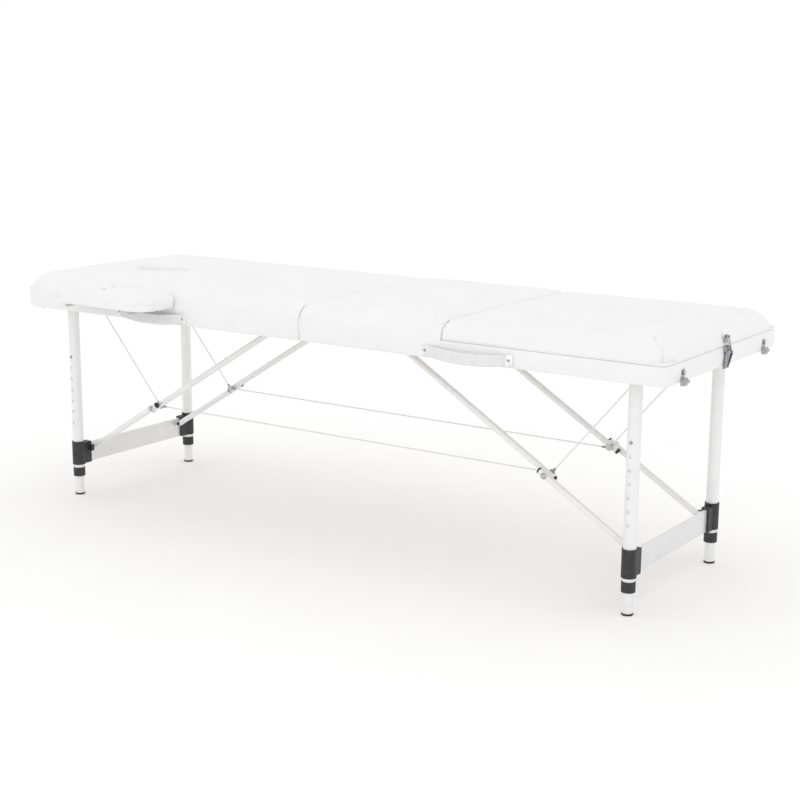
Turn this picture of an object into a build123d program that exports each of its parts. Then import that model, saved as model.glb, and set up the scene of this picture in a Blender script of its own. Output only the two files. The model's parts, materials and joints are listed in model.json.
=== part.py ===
from build123d import *
import math
import os

# Portable three-section massage table with four folding telescopic legs.
# X runs along the table, head end at -X and foot end at +X.
# Y runs across it, Z is up, and the origin is on the floor under the middle of the table.

# ---------------------------------------------------------------- driving dimensions (mm)
HALF = 925.0            # each half of the table, from the middle fold to its end
HALF_WIDTH = 300.0      # half the width of the upholstered top
RIM_Z = 520.0           # lower rim of the box frames
DECK_Z = 562.0          # top of the box frames, underside of the boards
TOP_Z = 606.0           # top of the pads
BOARD_T = 4.0           # plywood boards under the foam
COVER_T = 3.0           # vinyl and felt wrapped round the frame rails
RAIL_W = 18.0           # frame rails
FOLD_GAP = 1.0          # each half stops this far from the fold plane
CORNER_R = {-1: 50.0, 1: 22.0}   # plan radius of the corners at the head and foot ends
PAD_EDGE_R = 12.0       # rounded top edges of the pads

FOLD_Z = 515.0          # axis of the middle hinges, just under the rims
HINGE_Y = (-200.0, 0.0, 200.0)
HINGE_LEN = 60.0

CREASE_X = 391.5        # crease between the fixed middle section and the lifting section
CREASE_Z = 600.0        # axis of the crease hinge
CREASE_GAP = 1.5        # each pad stops this far from the crease
LIFT_CLEAR = 0.4        # the lifting section rests this far above the frame top

HOLE_X = -705.0         # centre of the face hole
HOLE_LEN = 170.0
HOLE_WID = 120.0

LEG_X = 823.0           # legs and their axles
LEG_Y = 219.0
AXLE_Z = 536.0
AXLE_R = 8.0
LEG_R = 14.5            # outer leg tube
LEG_BORE_R = 12.0
LEG_TOP = 548.0
LEG_BOTTOM = 54.0
INNER_R = 11.93         # telescopic inner tube, sliding fit in the outer tube
INNER_WALL = 1.6
INNER_TOP = 441.0
INNER_BOTTOM = 3.0
BUTTON_Z = 381.0        # snap button at the shortest setting
HOLE_PITCH = 30.0       # adjusting holes
HOLE_COUNT = 7
HOLE_R = 4.0
BUTTON_R = 3.93

CONN_R = 17.0           # black connector round the leg
CONN_Z = (84.0, 148.0)
COLLAR_R = 15.7
COLLAR_Z = (52.0, 76.0)
BAR_Z = (84.0, 138.0)   # flat crossbar between the legs
BAR_T = 8.0
POCKET_Y = 181.0        # inboard end of the pocket that holds the crossbar

STRUT_R = 7.5
STRUT_WALL = 1.2
LOWER_Y = 172.0         # plane of the lower struts
UPPER_Y = 156.0         # plane of the upper struts
LOW_PIVOT = (810.5, 125.0)   # strut pivot on the connector lug, (x, z)
TOP_PIVOT = (115.0, 553.0)   # strut pivot under the board, (x, z)
STRUT_TAIL = 16.0       # each strut runs on this far past the elbow
PIN_R = 3.0

CABLE_R = 1.5
CABLE_Y = 142.0

HANDLE_X = 461.0        # middle of the carrying handles
HANDLE_SPAN = 106.0     # half the distance between their mounts

ARM_X = (-722.0, -384.0)     # side armrest
ARM_REACH = 112.0
ARM_T = 5.0
ARM_TOP = 602.0
ARM_R = 42.0
PEG_X = (-660.0, -445.0)
PEG_Z = 556.5
PEG_R = 5.0
PEG_END_Y = -243.0

STAY_Y = 262.0          # stays that hold the lifting section up
STAY_X = 540.0
STAY_Z = 554.0
STAY_LEN = 255.0
STAY_SEAT_X = (640.0, 683.0)
SEAT_LIP = (4.5, 1.0)   # length and height of the lip that the stays push against

LATCH_Y = 220.0         # suitcase latches
LEVER_R = 10.0          # toggle radius of the draw latches
LEVER_A = math.radians(50.0)
WIRE_R = 1.2            # sides of the latch loops
BAR_R = 1.6             # crosspiece of the latch loops
FACE_GAP = 0.4

# ---------------------------------------------------------------- worked out from the above
# The struts are straight when the legs stand, and fold back on themselves when the
# legs lie in the frame, so half the sum and half the difference of the two pivot
# distances are the strut lengths.
LEG_DROP = AXLE_Z - LOW_PIVOT[1]
FOLDED_PIVOT_X = LEG_X - LEG_DROP
SPAN_OPEN = math.hypot(LOW_PIVOT[0] - TOP_PIVOT[0], TOP_PIVOT[1] - LOW_PIVOT[1])
SPAN_FOLDED = FOLDED_PIVOT_X - TOP_PIVOT[0]
LOWER_LEN = (SPAN_OPEN - SPAN_FOLDED) / 2
UPPER_LEN = (SPAN_OPEN + SPAN_FOLDED) / 2
STRUT_A = math.atan2(TOP_PIVOT[1] - LOW_PIVOT[1], LOW_PIVOT[0] - TOP_PIVOT[0])
ELBOW = (LOW_PIVOT[0] - LOWER_LEN * math.cos(STRUT_A), LOW_PIVOT[1] + LOWER_LEN * math.sin(STRUT_A))

os.makedirs("parts", exist_ok=True)


def save(builder, name):
    """Label a finished piece and write it to its own file."""
    builder.part.label = name
    export_step(builder.part, f"parts/{name}.step")


def section(sketch, side, near_x, far_x, half_width, radius):
    """Plan outline from near_x to far_x on one side of the fold, far corners rounded."""
    with Locations((side * (near_x + far_x) / 2, 0)):
        Rectangle(far_x - near_x, 2 * half_width)
    if radius > 0:
        ends = sketch.vertices().group_by(Axis.X)
        fillet(ends[-1 if side > 0 else 0], radius)


def slab(side, near_x, far_x, z0, z1, inset, radius, mode=Mode.ADD):
    """A flat slab with that plan, drawn in by inset on its three outer edges."""
    with BuildSketch(Plane.XY.offset(z0)) as plan:
        section(plan, side, near_x, far_x - inset, HALF_WIDTH - inset, max(radius - inset, 0))
    extrude(plan.sketch, amount=z1 - z0, mode=mode)


def face_hole(z0, z1):
    """Cut the oval face hole."""
    with BuildSketch(Plane.XY.offset(z0)) as oval:
        with Locations((HOLE_X, 0)):
            Ellipse(HOLE_LEN / 2, HOLE_WID / 2)
    extrude(oval.sketch, amount=z1 - z0, mode=Mode.SUBTRACT)


def rod(x, z, y0, y1, radius, mode=Mode.ADD):
    """A round bar or bore along Y."""
    with Locations(Plane(origin=(x, min(y0, y1), z), x_dir=(1, 0, 0), z_dir=(0, 1, 0))):
        Cylinder(radius, abs(y1 - y0), align=(Align.CENTER, Align.CENTER, Align.MIN), mode=mode)


def block(x, y, z, mode=Mode.ADD):
    """A box between three pairs of limits."""
    with Locations(((x[0] + x[1]) / 2, (y[0] + y[1]) / 2, (z[0] + z[1]) / 2)):
        Box(abs(x[1] - x[0]), abs(y[1] - y[0]), abs(z[1] - z[0]), mode=mode)


def tube_between(start, end, radius, wall):
    """A round tube, or a solid bar where wall is 0, from one point to another."""
    axis = Vector(*end) - Vector(*start)
    with Locations(Plane(origin=start, z_dir=axis)):
        Cylinder(radius, axis.length, align=(Align.CENTER, Align.CENTER, Align.MIN))
        if wall > 0:
            Cylinder(radius - wall, axis.length, align=(Align.CENTER, Align.CENTER, Align.MIN),
                     mode=Mode.SUBTRACT)


# ---------------------------------------------------------------- box frames, covers and boards
# Each half is a shallow box of plywood rails, open below, wrapped in the same vinyl as the pads.
for side, end in ((-1, "head"), (1, "foot")):
    with BuildPart() as frame:
        slab(side, FOLD_GAP + COVER_T, HALF, RIM_Z + 1.5, DECK_Z, COVER_T, CORNER_R[side])
        slab(side, FOLD_GAP + COVER_T + RAIL_W, HALF, RIM_Z, DECK_Z, COVER_T + RAIL_W,
             CORNER_R[side], Mode.SUBTRACT)
        if side < 0:
            for peg_x in PEG_X:
                rod(peg_x, PEG_Z, -HALF_WIDTH, PEG_END_Y, PEG_R + 0.08, Mode.SUBTRACT)
    save(frame, f"{end}_frame")

    with BuildPart() as cover:
        slab(side, FOLD_GAP, HALF, RIM_Z, DECK_Z, 0, CORNER_R[side])
        slab(side, FOLD_GAP + COVER_T, HALF, RIM_Z, DECK_Z, COVER_T, CORNER_R[side], Mode.SUBTRACT)
        if side < 0:
            for peg_x in PEG_X:
                rod(peg_x, PEG_Z, -HALF_WIDTH - 1, PEG_END_Y, PEG_R + 0.4, Mode.SUBTRACT)
    save(cover, f"{end}_side_cover")

with BuildPart() as head_board:
    slab(-1, FOLD_GAP + COVER_T, HALF, DECK_Z, DECK_Z + BOARD_T, COVER_T, CORNER_R[-1])
    face_hole(DECK_Z, DECK_Z + BOARD_T)
save(head_board, "head_board")

with BuildPart() as middle_board:
    slab(1, FOLD_GAP + COVER_T, CREASE_X - CREASE_GAP, DECK_Z, DECK_Z + BOARD_T, COVER_T, 0)
save(middle_board, "middle_board")

with BuildPart() as backrest_board:
    slab(1, CREASE_X + CREASE_GAP + COVER_T, HALF, DECK_Z + LIFT_CLEAR, DECK_Z + BOARD_T, COVER_T,
         CORNER_R[1])
save(backrest_board, "backrest_board")

# ---------------------------------------------------------------- pads
# Foam and vinyl, with a lip down to the underside of the board that the pad wraps.
with BuildPart() as head_pad:
    slab(-1, FOLD_GAP, HALF, DECK_Z, TOP_Z, 0, CORNER_R[-1])
    slab(-1, FOLD_GAP + COVER_T, HALF, DECK_Z, DECK_Z + BOARD_T, COVER_T, CORNER_R[-1], Mode.SUBTRACT)
    fillet(head_pad.faces().sort_by(Axis.Z)[-1].edges(), PAD_EDGE_R)
    face_hole(DECK_Z, TOP_Z)
save(head_pad, "head_pad")

with BuildPart() as middle_pad:
    slab(1, FOLD_GAP, CREASE_X - CREASE_GAP, DECK_Z, TOP_Z, 0, 0)
    slab(1, FOLD_GAP + COVER_T, CREASE_X - CREASE_GAP, DECK_Z, DECK_Z + BOARD_T, COVER_T, 0, Mode.SUBTRACT)
    fillet(middle_pad.faces().sort_by(Axis.Z)[-1].edges(), PAD_EDGE_R)
save(middle_pad, "middle_pad")

with BuildPart() as backrest_pad:
    slab(1, CREASE_X + CREASE_GAP, HALF, DECK_Z + LIFT_CLEAR, TOP_Z, 0, CORNER_R[1])
    slab(1, CREASE_X + CREASE_GAP + COVER_T, HALF, DECK_Z, DECK_Z + BOARD_T, COVER_T, CORNER_R[1],
         Mode.SUBTRACT)
    fillet(backrest_pad.faces().sort_by(Axis.Z)[-1].edges(), PAD_EDGE_R)
save(backrest_pad, "backrest_pad")

# ---------------------------------------------------------------- middle hinges
# Butt hinges screwed under the rims. The pins stay with the foot half.
LEAF_T = 1.5
KNUCKLE_R = 4.0
with BuildPart() as hinge_foot:
    for y in HINGE_Y:
        rod(0, FOLD_Z, y - HINGE_LEN / 2, y + HINGE_LEN / 2, PIN_R - 1)
        for y0 in (y - HINGE_LEN / 2, y + HINGE_LEN / 2 - 15):
            rod(0, FOLD_Z, y0, y0 + 15, KNUCKLE_R)
            block((0, 8), (y0, y0 + 15), (RIM_Z - 2 * LEAF_T, RIM_Z - LEAF_T))
        block((6, 32), (y - HINGE_LEN / 2, y + HINGE_LEN / 2), (RIM_Z - 2 * LEAF_T, RIM_Z))
save(hinge_foot, "main_hinge_foot_leaf")

with BuildPart() as hinge_head:
    for y in HINGE_Y:
        rod(0, FOLD_Z, y - 14.8, y + 14.8, KNUCKLE_R)
        block((-8, 0), (y - 14.8, y + 14.8), (RIM_Z - 2 * LEAF_T, RIM_Z - LEAF_T))
        rod(0, FOLD_Z, y - 14.8, y + 14.8, PIN_R - 1 + 0.05, Mode.SUBTRACT)
        block((-32, -6), (y - HINGE_LEN / 2, y + HINGE_LEN / 2), (RIM_Z - 2 * LEAF_T, RIM_Z))
save(hinge_head, "main_hinge_head_leaf")

# ---------------------------------------------------------------- crease hinge of the lifting section
# A long hinge between the end faces of the two pads, knuckles just under the top.
CREASE_HALF = 240.0
CREASE_KNUCKLE = 2.4
KNUCKLE_LEN = 40.0
KNUCKLES = int(2 * CREASE_HALF / KNUCKLE_LEN)
for parity, leaf_name in ((0, "backrest_hinge_fixed_leaf"), (1, "backrest_hinge_leaf")):
    leaf_side = -1 if parity == 0 else 1
    with BuildPart() as leaf:
        for i in range(parity, KNUCKLES, 2):
            y0 = -CREASE_HALF + i * KNUCKLE_LEN
            rod(CREASE_X, CREASE_Z, y0 + 0.2, y0 + KNUCKLE_LEN - 0.2, CREASE_KNUCKLE)
            block((CREASE_X + leaf_side * CREASE_GAP, CREASE_X + leaf_side * (CREASE_GAP - 1)),
                  (y0 + 0.2, y0 + KNUCKLE_LEN - 0.2), (CREASE_Z - 4, CREASE_Z))
        if parity == 0:
            rod(CREASE_X, CREASE_Z, -CREASE_HALF, CREASE_HALF, 1.2)
        else:
            rod(CREASE_X, CREASE_Z, -CREASE_HALF, CREASE_HALF, 1.25, Mode.SUBTRACT)
        block((CREASE_X + leaf_side * CREASE_GAP, CREASE_X + leaf_side * (CREASE_GAP - 1)),
              (-CREASE_HALF, CREASE_HALF), (DECK_Z + 1, CREASE_Z - 3))
    save(leaf, leaf_name)

# ---------------------------------------------------------------- leg axles
# A tube across each box frame carries both legs of that end. The eyes of the end cables
# are crimped round it.
RAIL_FACE = HALF_WIDTH - COVER_T - RAIL_W
END_DX = LEG_X - ELBOW[0]
END_DZ = AXLE_Z - ELBOW[1]
END_SPAN = math.hypot(END_DX, END_DZ)
EYE_R = 11.0
for side, end in ((-1, "head"), (1, "foot")):
    with BuildPart() as axle:
        rod(side * LEG_X, AXLE_Z, -RAIL_FACE, RAIL_FACE, AXLE_R)
        for y in (-RAIL_FACE, RAIL_FACE - 3):
            rod(side * LEG_X, AXLE_Z, y, y + 3, AXLE_R + 5)
        for y in (-CABLE_Y, CABLE_Y):
            rod(side * LEG_X, AXLE_Z, y - 3, y + 3, EYE_R)
    save(axle, f"{end}_leg_axle")

# ---------------------------------------------------------------- folding leg frames
for side, end in ((-1, "head"), (1, "foot")):
    x = side * LEG_X
    with BuildPart() as outer_legs:
        for y in (-LEG_Y, LEG_Y):
            tube_between((x, y, LEG_BOTTOM), (x, y, LEG_TOP), LEG_R, LEG_R - LEG_BORE_R)
            with Locations((x, y, LEG_TOP - 26)):
                Cylinder(LEG_BORE_R, 26, align=(Align.CENTER, Align.CENTER, Align.MIN))
            rod(x, AXLE_Z, y - LEG_R - 1, y + LEG_R + 1, AXLE_R + 0.08, Mode.SUBTRACT)
            outward = math.copysign(1, y)
            for i in range(HOLE_COUNT):
                rod(x, BUTTON_Z - i * HOLE_PITCH, y, y + outward * (LEG_R + 1), HOLE_R, Mode.SUBTRACT)
    save(outer_legs, f"{end}_outer_legs")

    with BuildPart() as bar:
        block((x - BAR_T / 2, x + BAR_T / 2), (-LEG_Y + CONN_R, LEG_Y - CONN_R), BAR_Z)
        fillet(bar.edges().filter_by(Axis.Y), 2)
    save(bar, f"{end}_crossbar")

    with BuildPart() as connectors:
        for sign in (-1, 1):
            y = sign * LEG_Y
            with Locations((x, y, CONN_Z[0])):
                Cylinder(CONN_R, CONN_Z[1] - CONN_Z[0], align=(Align.CENTER, Align.CENTER, Align.MIN))
            block((x - 10, x + 10), (sign * POCKET_Y, y), (BAR_Z[0], BAR_Z[1] + 4))
            block((side * (LOW_PIVOT[0] - 8), x), (sign * POCKET_Y, sign * (POCKET_Y + 10)),
                  (LOW_PIVOT[1] - 8, LOW_PIVOT[1] + 8))
            with Locations((x, y, CONN_Z[0])):
                Cylinder(LEG_R, CONN_Z[1] - CONN_Z[0], align=(Align.CENTER, Align.CENTER, Align.MIN),
                         mode=Mode.SUBTRACT)
            block((x - BAR_T / 2, x + BAR_T / 2), (sign * (POCKET_Y - 1), sign * (LEG_Y - CONN_R)), BAR_Z,
                  Mode.SUBTRACT)
            rod(side * LOW_PIVOT[0], LOW_PIVOT[1], sign * (LOWER_Y - STRUT_R - 0.6), sign * (POCKET_Y + 2),
                PIN_R)
            rod(side * LOW_PIVOT[0], LOW_PIVOT[1], sign * (LOWER_Y - STRUT_R - 0.6),
                sign * (LOWER_Y - STRUT_R - 0.1), PIN_R + 2.5)
            with Locations((x, y, COLLAR_Z[0])):
                Cylinder(COLLAR_R, COLLAR_Z[1] - COLLAR_Z[0], align=(Align.CENTER, Align.CENTER, Align.MIN))
                Cylinder(LEG_R, COLLAR_Z[1] - COLLAR_Z[0], align=(Align.CENTER, Align.CENTER, Align.MIN),
                         mode=Mode.SUBTRACT)
                Cylinder(COLLAR_R, LEG_BOTTOM - COLLAR_Z[0],
                         align=(Align.CENTER, Align.CENTER, Align.MIN))
                Cylinder(LEG_BORE_R, LEG_BOTTOM - COLLAR_Z[0],
                         align=(Align.CENTER, Align.CENTER, Align.MIN), mode=Mode.SUBTRACT)
    save(connectors, f"{end}_connectors")

# ---------------------------------------------------------------- telescopic inner legs
# Each inner tube has a sprung button that snaps into one of the seven holes of the outer tube.
TIP_R = 12.7
TIP_HEIGHT = 4.5
for side, end in ((-1, "head"), (1, "foot")):
    for sign, row in ((-1, "near"), (1, "far")):
        x, y = side * LEG_X, sign * LEG_Y
        with BuildPart() as inner:
            tube_between((x, y, INNER_BOTTOM), (x, y, INNER_TOP), INNER_R, INNER_WALL)
            rod(x, BUTTON_Z, y, y + sign * (INNER_R + 1), HOLE_R, Mode.SUBTRACT)
        save(inner, f"{end}_{row}_inner_leg")

        with BuildPart() as tip:
            with Locations((x, y, 0)):
                Cylinder(TIP_R, TIP_HEIGHT, align=(Align.CENTER, Align.CENTER, Align.MIN))
            fillet(tip.edges().group_by(Axis.Z)[0], 1.2)
            with Locations((x, y, INNER_BOTTOM)):
                Cylinder(INNER_R, TIP_HEIGHT - INNER_BOTTOM, align=(Align.CENTER, Align.CENTER, Align.MIN),
                         mode=Mode.SUBTRACT)
        save(tip, f"{end}_{row}_foot_tip")

        with BuildPart() as button:
            rod(x, BUTTON_Z, y + sign * 6, y + sign * (LEG_R + 2.6), BUTTON_R)
            fillet(button.edges().group_by(Axis.Y)[-1 if sign > 0 else 0], 1.8)
            block((x - 3, x + 3), (y + sign * 5, y + sign * 6), (BUTTON_Z - 6, BUTTON_Z + 34))
        save(button, f"{end}_{row}_snap_button")

# ---------------------------------------------------------------- folding struts
for side, end in ((-1, "head"), (1, "foot")):
    ux, uz = side * math.cos(STRUT_A), -math.sin(STRUT_A)

    def along(length, y):
        """A point on the strut line, measured down from its top pivot."""
        return (side * TOP_PIVOT[0] + ux * length, y, TOP_PIVOT[1] + uz * length)

    with BuildPart() as upper:
        for y in (-UPPER_Y, UPPER_Y):
            tube_between(along(0, y), along(UPPER_LEN + STRUT_TAIL, y), STRUT_R, STRUT_WALL)
            rod(side * TOP_PIVOT[0], TOP_PIVOT[1], y - STRUT_R, y + STRUT_R, STRUT_R)
            rod(side * TOP_PIVOT[0], TOP_PIVOT[1], y - 9, y + 9, PIN_R + 0.06, Mode.SUBTRACT)
            rod(side * ELBOW[0], ELBOW[1], y - 9, y + 9, PIN_R, Mode.SUBTRACT)
    save(upper, f"{end}_upper_struts")

    with BuildPart() as lower:
        for y in (-LOWER_Y, LOWER_Y):
            tube_between(along(UPPER_LEN - STRUT_TAIL, y), along(SPAN_OPEN, y), STRUT_R, STRUT_WALL)
            rod(side * LOW_PIVOT[0], LOW_PIVOT[1], y - STRUT_R, y + STRUT_R, STRUT_R)
            rod(side * LOW_PIVOT[0], LOW_PIVOT[1], y - 9, y + 9, PIN_R + 0.06, Mode.SUBTRACT)
    save(lower, f"{end}_lower_struts")

    # Elbow bolts: shank through the upper strut, and the eye of the cables on its inboard end.
    with BuildPart() as bolts:
        for sign in (-1, 1):
            outer_y = sign * (UPPER_Y + STRUT_R)
            rod(side * ELBOW[0], ELBOW[1], outer_y, sign * (CABLE_Y - 4), PIN_R)
            rod(side * ELBOW[0], ELBOW[1], sign * (CABLE_Y - 3), sign * (CABLE_Y + 3), 8)
    save(bolts, f"{end}_elbow_bolts")

# Brackets under the boards carry the top pivots of the struts, and two ledges in the foot
# frame take the ends of the backrest stays.
for side, end in ((-1, "head"), (1, "foot")):
    with BuildPart() as brackets:
        for y in (-UPPER_Y, UPPER_Y):
            for sign in (-1, 1):
                inner_y = y + sign * (STRUT_R + 0.6)
                block((side * (TOP_PIVOT[0] - 14), side * (TOP_PIVOT[0] + 14)),
                      (inner_y, inner_y + sign * 2), (TOP_PIVOT[1] - 9, DECK_Z))
                block((side * (TOP_PIVOT[0] - 14), side * (TOP_PIVOT[0] + 14)),
                      (inner_y, inner_y + sign * 9), (DECK_Z - 2, DECK_Z))
            rod(side * TOP_PIVOT[0], TOP_PIVOT[1], y - STRUT_R - 4.4, y + STRUT_R + 4.4, PIN_R)
        if side > 0:
            for sign in (-1, 1):
                block(STAY_SEAT_X, (sign * (STAY_Y - 8), sign * RAIL_FACE), (RIM_Z + 2.5, RIM_Z + 6.5))
                block((STAY_SEAT_X[1] - SEAT_LIP[0], STAY_SEAT_X[1]),
                      (sign * (STAY_Y - 8), sign * RAIL_FACE),
                      (RIM_Z + 2.5, RIM_Z + 6.5 + SEAT_LIP[1]))
    save(brackets, f"{end}_frame_brackets")

# ---------------------------------------------------------------- backrest stays
with BuildPart() as stays:
    for sign in (-1, 1):
        with BuildSketch(Plane.XZ.offset(-sign * STAY_Y - 2.5)):
            with Locations((STAY_X + STAY_LEN / 2, STAY_Z)):
                SlotCenterToCenter(STAY_LEN, 8)
            with Locations((STAY_X, STAY_Z)):
                Circle(PIN_R + 0.06, mode=Mode.SUBTRACT)
        extrude(amount=5)
save(stays, "backrest_stays")

with BuildPart() as stay_brackets:
    for sign in (-1, 1):
        y = sign * STAY_Y
        for cheek in (-1, 1):
            inner_y = y + cheek * 3.0
            block((STAY_X - 7, STAY_X + 7), (inner_y, inner_y + cheek * 2),
                  (STAY_Z - 5, DECK_Z + LIFT_CLEAR))
            block((STAY_X - 7, STAY_X + 7), (inner_y, inner_y + cheek * 8),
                  (DECK_Z + LIFT_CLEAR - 1.5, DECK_Z + LIFT_CLEAR))
        rod(STAY_X, STAY_Z, y - 5.5, y + 5.5, PIN_R)
save(stay_brackets, "stay_brackets")

# ---------------------------------------------------------------- carrying handles
STRAP_T = 4.0
STRAP_BOW = 17.0
STRAP_Z = (525.0, 549.0)
for side, end in ((-1, "head"), (1, "foot")):
    with BuildPart() as handle:
        with BuildSketch(Plane.XY.offset(STRAP_Z[0])):
            with BuildLine():
                face_y = -HALF_WIDTH - FACE_GAP
                left = side * HANDLE_X - HANDLE_SPAN + 8
                right = side * HANDLE_X + HANDLE_SPAN - 8
                ThreePointArc((left, face_y), (side * HANDLE_X, face_y - STRAP_BOW), (right, face_y))
                Line((right, face_y), (right - 14, face_y))
                ThreePointArc((right - 14, face_y), (side * HANDLE_X, face_y - STRAP_BOW + STRAP_T),
                              (left + 14, face_y))
                Line((left + 14, face_y), (left, face_y))
            make_face()
        extrude(amount=STRAP_Z[1] - STRAP_Z[0])
        for sign in (-1, 1):
            mount_x = side * HANDLE_X + sign * HANDLE_SPAN
            block((mount_x - 8, mount_x + 8), (-HALF_WIDTH, -HALF_WIDTH - 5), (527, 553))
    save(handle, f"{end}_handle")

# ---------------------------------------------------------------- side armrest
ARM_MID = (ARM_X[0] + ARM_X[1]) / 2
ARM_FACE = -HALF_WIDTH - FACE_GAP


def arm_plan(sketch, inset=0.0):
    """Plan of the armrest drawn in by inset, outer corners rounded."""
    with Locations((ARM_MID, ARM_FACE - ARM_REACH / 2)):
        Rectangle(ARM_X[1] - ARM_X[0] - 2 * inset, ARM_REACH - 2 * inset)
    fillet(sketch.vertices().group_by(Axis.Y)[0], ARM_R - inset)


with BuildPart() as armrest_frame:
    with BuildSketch(Plane.XY.offset(DECK_Z)) as arm_sketch:
        arm_plan(arm_sketch, COVER_T)
    extrude(amount=ARM_T)
    for peg_x in PEG_X:
        rod(peg_x, PEG_Z, ARM_FACE - ARM_REACH + 15, PEG_END_Y, PEG_R)
        block((peg_x - 3, peg_x + 3), (ARM_FACE - ARM_REACH + 15, ARM_FACE - 2), (PEG_Z, DECK_Z))
save(armrest_frame, "armrest_frame")

with BuildPart() as armrest_pad:
    with BuildSketch(Plane.XY.offset(DECK_Z)) as arm_sketch:
        arm_plan(arm_sketch)
    extrude(amount=ARM_TOP - DECK_Z)
    with BuildSketch(Plane.XY.offset(DECK_Z)) as board_sketch:
        arm_plan(board_sketch, COVER_T)
    extrude(amount=ARM_T, mode=Mode.SUBTRACT)
    fillet(armrest_pad.faces().sort_by(Axis.Z)[-1].edges().sort_by(Axis.Y)[:-1], PAD_EDGE_R - 2)
save(armrest_pad, "armrest_pad")

# ---------------------------------------------------------------- draw latches
# A lever pivots on a base plate and pulls a wire loop over a small ledge.


def latch_base(side, y, pivot_z, way):
    """Base plate with two ears for the lever pin. way is +1 when the loop points up."""
    face = HALF + FACE_GAP
    z = (pivot_z - way * 44, pivot_z + way * 6)
    block((side * face, side * (face + 1.6)), (y - 11, y + 11), z)
    for sign in (-1, 1):
        block((side * face, side * (face + 8)), (y + sign * 11, y + sign * 9.4),
              (pivot_z - 5, pivot_z + 5))
    rod(side * (HALF + 5), pivot_z, y - 11, y + 11, 1.5)


def latch_lever(side, y, pivot_z, way):
    """Lever plate, its hub on the pin, and the crank that carries the loop."""
    px = HALF + 5
    crank_x = px + LEVER_R * math.sin(LEVER_A)
    crank_z = pivot_z - way * LEVER_R * math.cos(LEVER_A)
    rod(side * px, pivot_z, y - 9, y + 9, 2.6)
    for sign in (-1, 1):
        with BuildSketch(Plane.XZ.offset(-(y + sign * 7.6) - 0.8)) as cheek:
            with BuildLine():
                Polyline((side * px, pivot_z - way * 2.6), (side * (px - 2), pivot_z - way * 42),
                         (side * (px + 1), pivot_z - way * 42), (side * (crank_x + 2.6), crank_z),
                         (side * (px + 2), pivot_z + way * 1.5), (side * px, pivot_z - way * 2.6))
            make_face()
        extrude(cheek.sketch, amount=1.6)
    block((side * (px - 2.6), side * (px - 0.8)), (y - 8.4, y + 8.4),
          (pivot_z - way * 12, pivot_z - way * 43))
    rod(side * crank_x, crank_z, y - 8.4, y + 8.4, 1.4)
    rod(side * px, pivot_z, y - 12, y + 12, 1.55, Mode.SUBTRACT)


def latch_loop(side, y, pivot_z, way, reach):
    """Wire loop hooked on the crank of the lever."""
    crank_x = HALF + 5 + LEVER_R * math.sin(LEVER_A)
    crank_z = pivot_z - way * LEVER_R * math.cos(LEVER_A)
    bar_x = HALF + 4.6
    bar_z = pivot_z + way * reach
    for sign in (-1, 1):
        arm_y = y + sign * 4.5
        tube_between((side * crank_x, arm_y, crank_z), (side * bar_x, arm_y, bar_z), WIRE_R, 0)
        rod(side * crank_x, crank_z, arm_y - 1.5, arm_y + 1.5, 2.8)
    rod(side * bar_x, bar_z, y - 6.5, y + 6.5, BAR_R)
    rod(side * crank_x, crank_z, y - 8, y + 8, 1.46, Mode.SUBTRACT)


END_PIVOT_Z = 558.0
END_REACH = 28.0
with BuildPart() as end_latch_base:
    latch_base(1, 0, END_PIVOT_Z, 1)
save(end_latch_base, "end_latch_base")

with BuildPart() as end_latch_lever:
    latch_lever(1, 0, END_PIVOT_Z, 1)
save(end_latch_lever, "end_latch_lever")

with BuildPart() as end_latch_loop:
    latch_loop(1, 0, END_PIVOT_Z, 1, END_REACH)
save(end_latch_loop, "end_latch_loop")

LEDGE_Z = END_PIVOT_Z + END_REACH - BAR_R - 0.1
with BuildPart() as end_latch_keeper:
    block((HALF, HALF + 1.5), (-9, 9), (LEDGE_Z - 14, LEDGE_Z + 4))
    block((HALF, HALF + 9), (-2.6, 2.6), (LEDGE_Z - 2, LEDGE_Z))
    block((HALF + 7.8, HALF + 9), (-2.6, 2.6), (LEDGE_Z - 2, LEDGE_Z + 1.1))
save(end_latch_keeper, "end_latch_keeper")

CLOSE_PIVOT_Z = 530.0
CLOSE_REACH = 26.0
with BuildPart() as closing_latch_bases:
    for y in (-LATCH_Y, LATCH_Y):
        latch_base(-1, y, CLOSE_PIVOT_Z, -1)
save(closing_latch_bases, "closing_latch_bases")

for sign, row in ((-1, "near"), (1, "far")):
    with BuildPart() as closing_lever:
        latch_lever(-1, sign * LATCH_Y, CLOSE_PIVOT_Z, -1)
        latch_loop(-1, sign * LATCH_Y, CLOSE_PIVOT_Z, -1, CLOSE_REACH)
    save(closing_lever, f"closing_latch_lever_{row}")

# Keepers of the suitcase latches on the foot end: a plate with a stud, and a block over the rim.
with BuildPart() as closing_keepers:
    for y in (-LATCH_Y, LATCH_Y):
        block((HALF, HALF + 1.6), (y - 9, y + 9), (RIM_Z + 1, RIM_Z + 28))
        with Locations(Plane(origin=(HALF + 1.6, y, RIM_Z + 20), z_dir=(1, 0, 0))):
            Cylinder(4.5, 3.5, align=(Align.CENTER, Align.CENTER, Align.MIN))
        block((HALF, HALF + 9), (y - 9, y + 9), (RIM_Z - 6, RIM_Z + 9))
        rod(HALF + 9, RIM_Z + 1.5, y - 9, y + 9, 4.5)
save(closing_keepers, "closing_keepers")

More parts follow.
